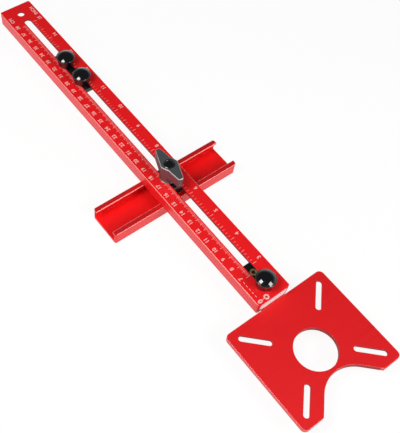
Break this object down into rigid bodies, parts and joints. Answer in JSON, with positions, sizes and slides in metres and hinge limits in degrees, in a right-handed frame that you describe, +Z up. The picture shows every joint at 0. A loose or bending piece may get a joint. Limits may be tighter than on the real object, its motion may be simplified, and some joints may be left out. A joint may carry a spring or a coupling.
{
  "type": "router circle cutting jig",
  "caption": "Router circle cutting jig: graduated slotted rail with a router base plate, a sliding pivot pin with lock knob and a clamped cross fence.",
  "frame": {"origin": "on the axis of the bit opening in the base plate, level with the underside of the plate and rail", "axes": "+X along the rail away from the router, +Y across it towards the centimetre scale, +Z up out of the plate's top"},
  "size_m": [0.4462, 0.122, 0.0416],
  "materials": {
    "red_anodised_aluminium": "satin red anodised",
    "milled_aluminium": "bare, fly cut",
    "gloss_black_plastic": "polished black",
    "black_nylon": "fine matt",
    "black_coated_cast_metal": "satin black coat with a bare bevelled edge",
    "brass": "turned",
    "zinc_steel": "zinc plated"
  },
  "bodies": {
    "rail": {"bar_rail": "red_anodised_aluminium"},
    "plate_carriage": {"base_plate": "red_anodised_aluminium", "tongue_block": "milled_aluminium", "tongue_key": "black_nylon", "tongue_inserts": "brass", "tongue_screws": "zinc_steel"},
    "end_washer": {"end_knob_washer": "black_nylon"},
    "end_knob_turning": {"end_knob": "gloss_black_plastic", "end_knob_stud": "zinc_steel"},
    "slider_carriage": {"slider_block": "black_nylon", "slider_inserts": "brass"},
    "pivot_washer": {"pivot_knob_washer": "black_nylon"},
    "pivot_knob_turning": {"pivot_knob": "gloss_black_plastic", "pivot_pin": "zinc_steel"},
    "lock_washer": {"lock_knob_washer": "black_nylon"},
    "lock_knob_turning": {"lock_knob": "gloss_black_plastic", "lock_knob_stud": "zinc_steel"},
    "crossing_carriage": {"crossing_block": "black_nylon", "clamp_plate": "zinc_steel", "clamp_bolt": "zinc_steel"},
    "cross_fence": {"fence_channel": "red_anodised_aluminium"},
    "wing_washer_lifting": {"wing_washer": "zinc_steel"},
    "wing_knob_turning": {"wing_knob": "black_coated_cast_metal", "wing_bush": "brass", "wing_cap": "gloss_black_plastic"}
  },
  "joints": [
    {"name": "plate_slide", "type": "slide", "parent": "rail", "child": "plate_carriage", "axis": [1, 0, 0], "range_m": [-0.0035, 0.001]},
    {"name": "slider_slide", "type": "slide", "parent": "rail", "child": "slider_carriage", "axis": [1, 0, 0], "range_m": [-0.065, 0.049]},
    {"name": "crossing_slide", "type": "slide", "parent": "rail", "child": "crossing_carriage", "axis": [1, 0, 0], "range_m": [-0.075, 0.025]},
    {"name": "fence_slide", "type": "slide", "parent": "crossing_carriage", "child": "cross_fence", "axis": [0, 1, 0], "range_m": [-0.045, 0.045]},
    {"name": "end_knob_lift", "type": "slide", "parent": "plate_carriage", "child": "end_washer", "axis": [0, 0, 1], "range_m": [0, 0.0014]},
    {"name": "end_knob_turn", "type": "hinge", "parent": "end_washer", "child": "end_knob_turning", "pos_m": [0.0587, 0, 0.02], "axis": [0, 0, 1], "range_deg": [0, 720]},
    {"name": "pivot_knob_lift", "type": "slide", "parent": "slider_carriage", "child": "pivot_washer", "axis": [0, 0, 1], "range_m": [0, 0.0014]},
    {"name": "pivot_knob_turn", "type": "hinge", "parent": "pivot_washer", "child": "pivot_knob_turning", "pos_m": [0.2972, 0, 0.02], "axis": [0, 0, 1], "range_deg": [0, 720]},
    {"name": "lock_knob_lift", "type": "slide", "parent": "slider_carriage", "child": "lock_washer", "axis": [0, 0, 1], "range_m": [0, 0.0014]},
    {"name": "lock_knob_turn", "type": "hinge", "parent": "lock_washer", "child": "lock_knob_turning", "pos_m": [0.3214, 0, 0.02], "axis": [0, 0, 1], "range_deg": [0, 720]},
    {"name": "wing_knob_lift", "type": "slide", "parent": "crossing_carriage", "child": "wing_washer_lifting", "axis": [0, 0, 1], "range_m": [0, 0.002]},
    {"name": "wing_knob_turn", "type": "hinge", "parent": "wing_washer_lifting", "child": "wing_knob_turning", "pos_m": [0.17505, 0, 0.02], "axis": [0, 0, 1], "range_deg": [0, 720]}
  ],
  "couplings": [
    {"joint": "end_knob_turn", "follows": "end_knob_lift", "rad_per_m": 8975},
    {"joint": "pivot_knob_turn", "follows": "pivot_knob_lift", "rad_per_m": 8975},
    {"joint": "lock_knob_turn", "follows": "lock_knob_lift", "rad_per_m": 8975},
    {"joint": "wing_knob_turn", "follows": "wing_knob_lift", "rad_per_m": 6283}
  ]
}
